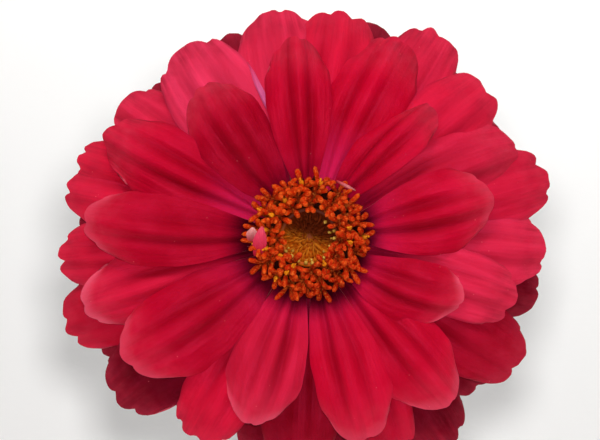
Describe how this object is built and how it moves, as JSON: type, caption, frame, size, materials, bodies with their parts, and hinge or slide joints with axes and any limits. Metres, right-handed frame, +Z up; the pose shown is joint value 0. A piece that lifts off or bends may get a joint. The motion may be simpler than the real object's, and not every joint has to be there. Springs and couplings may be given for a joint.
{
  "type": "potted zinnia",
  "caption": "Flowering zinnia with a double crimson bloom on a leafy stem, growing in a plain terracotta pot of soil.",
  "frame": {"origin": "middle of the pot's flat underside", "axes": "+Z up along the pot and the plant, -Y the front, the side that the bloom leans to"},
  "size_m": [0.102, 0.102, 0.2296],
  "materials": {
    "pot": "unglazed terracotta, matte and slightly chalky",
    "soil": "moist peaty potting mix, loose and crumbly",
    "leafy_stem": "living green leaf and stem, softly hairy",
    "ray_petals": "velvety crimson petal, softly translucent",
    "disc_florets": "velvety orange floret lobes",
    "disc_centre": "dry brown and gold scales"
  },
  "bodies": {
    "root": {"pot": "pot", "soil": "soil", "leafy_stem": "leafy_stem", "ray_petals": "ray_petals", "disc_florets": "disc_florets", "disc_centre": "disc_centre"}
  },
  "joints": []
}
